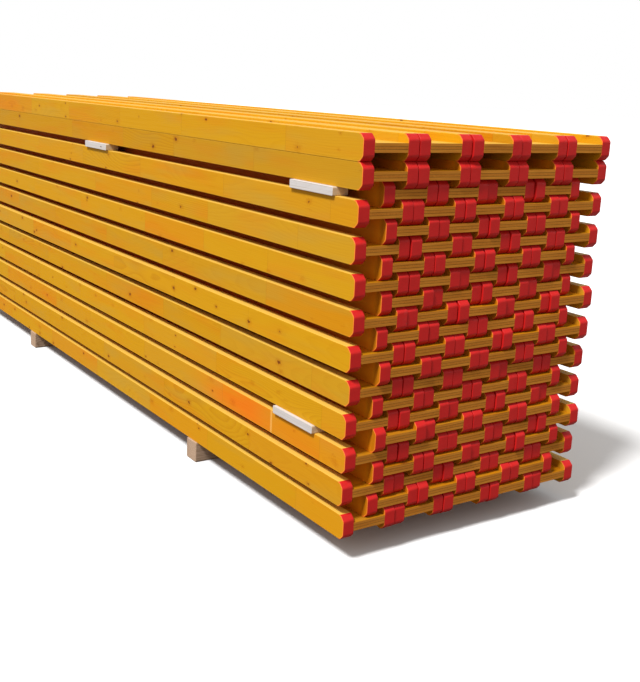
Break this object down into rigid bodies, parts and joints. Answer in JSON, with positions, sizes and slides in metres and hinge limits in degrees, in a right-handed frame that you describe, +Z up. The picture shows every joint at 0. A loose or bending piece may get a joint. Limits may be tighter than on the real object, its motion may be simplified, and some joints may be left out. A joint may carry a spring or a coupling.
{
  "type": "stack of formwork beams",
  "caption": "Stack of timber formwork beams lying on their sides in nested rows, with painted flange ends, spacer blocks between flanges and bearers below.",
  "frame": {"origin": "centre of the stack on the ground, between the undersides of the two bearers", "axes": "+X along the beams, towards the ends that have two spacer blocks near them, +Y across the stack, away from the side with the spacer blocks, +Z up"},
  "size_m": [3.9202, 1.0278, 1.31],
  "materials": {
    "flange_wood": "yellow glazed spruce, red paint on the ends",
    "web_board": "yellow glazed three-ply board, bare cut ends",
    "spacer_wood": "raw pale softwood",
    "bearer_wood": "rough sawn softwood"
  },
  "bodies": {
    "root": {"layer_01_flanges": "flange_wood", "layer_02_flanges": "flange_wood", "layer_03_flanges": "flange_wood", "layer_04_flanges": "flange_wood", "layer_05_flanges": "flange_wood", "layer_06_flanges": "flange_wood", "layer_07_flanges": "flange_wood", "layer_08_flanges": "flange_wood", "layer_09_flanges": "flange_wood", "layer_10_flanges": "flange_wood", "layer_11_flanges": "flange_wood", "layer_12_flanges": "flange_wood", "layer_13_flanges": "flange_wood", "layer_14_flanges": "flange_wood", "layer_15_flanges": "flange_wood", "layer_16_flanges": "flange_wood", "layer_17_flanges": "flange_wood", "layer_18_flanges": "flange_wood", "layer_19_flanges": "flange_wood", "layer_20_flanges": "flange_wood", "layer_21_flanges": "flange_wood", "layer_22_flanges": "flange_wood", "layer_01_webs": "web_board", "layer_02_webs": "web_board", "layer_03_webs": "web_board", "layer_04_webs": "web_board", "layer_05_webs": "web_board", "layer_06_webs": "web_board", "layer_07_webs": "web_board", "layer_08_webs": "web_board", "layer_09_webs": "web_board", "layer_10_webs": "web_board", "layer_11_webs": "web_board", "layer_12_webs": "web_board", "layer_13_webs": "web_board", "layer_14_webs": "web_board", "layer_15_webs": "web_board", "layer_16_webs": "web_board", "layer_17_webs": "web_board", "layer_18_webs": "web_board", "layer_19_webs": "web_board", "layer_20_webs": "web_board", "layer_21_webs": "web_board", "layer_22_webs": "web_board", "spacer_blocks": "spacer_wood", "bearers": "bearer_wood"}
  },
  "joints": []
}
